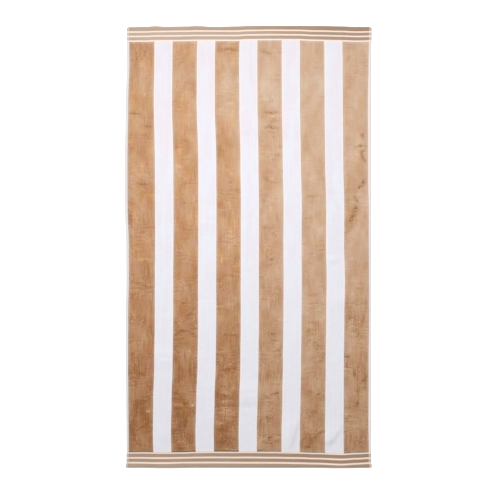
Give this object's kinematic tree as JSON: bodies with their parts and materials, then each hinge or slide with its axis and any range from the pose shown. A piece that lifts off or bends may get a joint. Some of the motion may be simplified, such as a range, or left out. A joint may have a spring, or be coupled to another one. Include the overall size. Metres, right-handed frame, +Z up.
{
  "type": "beach towel",
  "caption": "Flat beach towel of striped cotton velour with flat-woven end borders and turned hems, spread out to lie on.",
  "frame": {"origin": "on the surface the towel lies on, under the middle of the towel", "axes": "+Z up from that surface, +Y along the stripes towards the upper end in the picture, +X towards the right side"},
  "size_m": [1.0045, 1.798, 0.0082],
  "materials": {
    "towel_cloth": "sheared cotton velour in tan and white stripes, flat-woven at the ends"
  },
  "bodies": {
    "root": {"towel": "towel_cloth"}
  },
  "joints": []
}
